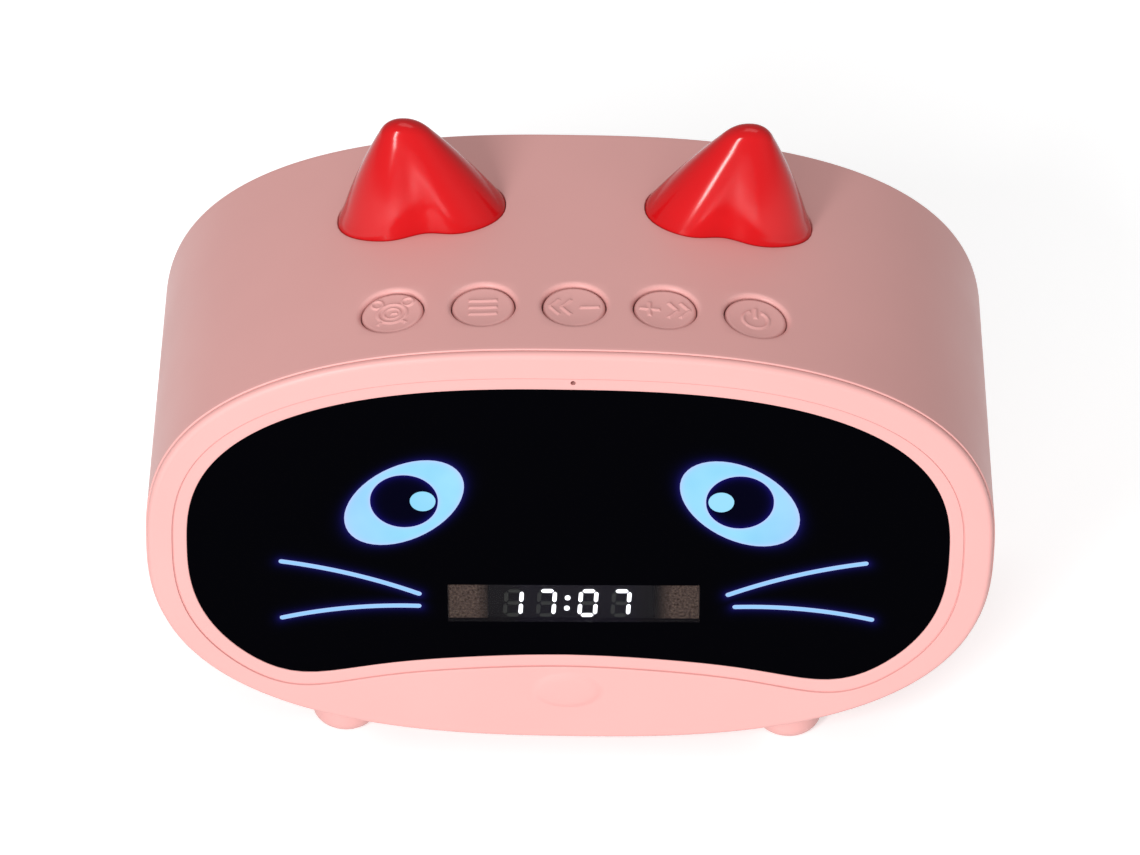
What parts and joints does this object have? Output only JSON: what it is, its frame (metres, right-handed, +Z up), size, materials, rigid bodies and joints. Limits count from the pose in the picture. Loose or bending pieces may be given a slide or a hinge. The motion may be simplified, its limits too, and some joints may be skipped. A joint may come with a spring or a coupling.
{
  "type": "cat-face digital clock",
  "caption": "Rounded table clock with a cat face: black front panel with lit eyes, whiskers and digits, red ears, top keys, short feet and a rear speaker grille.",
  "frame": {"origin": "on the ground under the centre of the body, at the bottom centre of the bounding box", "axes": "+X to the right of someone facing the clock, +Y from the face to the back, +Z up"},
  "size_m": [0.13, 0.0552, 0.0972],
  "materials": {
    "shell_pink": "fine satin moulded plastic, pale pink",
    "key_pink": "satin moulded plastic, pale pink, raised symbols",
    "panel_black": "polished black acrylic",
    "pupil_black": "printed black",
    "lit_blue": "light guide, lit sky blue",
    "lit_white": "lit display segment",
    "segment_off": "unlit display segment",
    "smoked_window": "smoked clear strip",
    "foam": "brown open-cell foam",
    "foam_black": "black closed-cell foam",
    "module_black": "black moulded plastic",
    "chip_black": "black epoxy package",
    "white_plastic": "white reflector plastic",
    "board_green": "green solder mask",
    "led_white": "small white LED package",
    "steel": "plated steel",
    "magnet_grey": "ferrite",
    "copper": "enamelled copper wire",
    "cell_sleeve": "shrink sleeve",
    "lead_red": "insulated wire",
    "cone_paper": "coated paper cone",
    "soft_rubber": "moulded rubber roll",
    "spider_cloth": "corrugated resin-dipped cloth",
    "grille_fabric": "black acoustic cloth",
    "ear_red": "high-gloss red plastic"
  },
  "bodies": {
    "housing": {"body_shell": "shell_pink", "front_bezel": "shell_pink", "rear_cover": "shell_pink", "face_panel": "panel_black", "eye_diffuser_left": "lit_blue", "eye_diffuser_right": "lit_blue", "pupil_discs": "pupil_black", "whisker_guides_left": "lit_blue", "whisker_guides_right": "lit_blue", "display_window": "smoked_window", "display_foam": "foam", "display_module": "module_black", "segments_lit": "lit_white", "segments_off": "segment_off", "light_box": "white_plastic", "face_board": "board_green", "face_leds": "led_white", "microphone": "steel", "microphone_board": "board_green", "key_switches": "steel", "key_board": "board_green", "main_board": "board_green", "main_chips": "chip_black", "usb_socket": "steel", "audio_socket": "module_black", "card_socket": "steel", "battery_cell": "cell_sleeve", "battery_tray": "module_black", "battery_leads": "lead_red", "speaker_frame": "module_black", "speaker_top_plate": "steel", "speaker_magnet": "magnet_grey", "speaker_yoke": "steel", "speaker_surround": "soft_rubber", "speaker_spider": "spider_cloth", "speaker_gasket": "foam_black", "grille_cloth": "grille_fabric", "speaker_leads": "lead_red", "ear_left": "ear_red", "ear_right": "ear_red", "foot_front_left": "shell_pink", "foot_front_right": "shell_pink", "foot_rear_left": "shell_pink", "foot_rear_right": "shell_pink", "case_screws": "steel", "small_screws": "steel"},
    "alarm_key": {"alarm_button": "key_pink", "alarm_plunger": "module_black"},
    "mode_key": {"mode_button": "key_pink", "mode_plunger": "module_black"},
    "back_key": {"back_button": "key_pink", "back_plunger": "module_black"},
    "forward_key": {"forward_button": "key_pink", "forward_plunger": "module_black"},
    "power_key": {"power_button": "key_pink", "power_plunger": "module_black"},
    "speaker_diaphragm": {"speaker_cone": "cone_paper", "speaker_dust_cap": "cone_paper", "speaker_voice_coil": "copper"}
  },
  "joints": [
    {"name": "alarm_press", "type": "slide", "parent": "housing", "child": "alarm_key", "axis": [0.1663, 0, -0.9861], "range_m": [0, 0.0005], "stiffness_N_per_m": 600, "springref_m": -0.0008},
    {"name": "mode_press", "type": "slide", "parent": "housing", "child": "mode_key", "axis": [0.0538, 0, -0.9986], "range_m": [0, 0.0005], "stiffness_N_per_m": 600, "springref_m": -0.0008},
    {"name": "back_press", "type": "slide", "parent": "housing", "child": "back_key", "axis": [0, 0, -1], "range_m": [0, 0.0005], "stiffness_N_per_m": 600, "springref_m": -0.0008},
    {"name": "forward_press", "type": "slide", "parent": "housing", "child": "forward_key", "axis": [-0.0538, 0, -0.9986], "range_m": [0, 0.0005], "stiffness_N_per_m": 600, "springref_m": -0.0008},
    {"name": "power_press", "type": "slide", "parent": "housing", "child": "power_key", "axis": [-0.1663, 0, -0.9861], "range_m": [0, 0.0005], "stiffness_N_per_m": 600, "springref_m": -0.0008},
    {"name": "speaker_stroke", "type": "slide", "parent": "housing", "child": "speaker_diaphragm", "axis": [0, 1, 0], "range_m": [-0.0008, 0.0008], "stiffness_N_per_m": 1200}
  ]
}
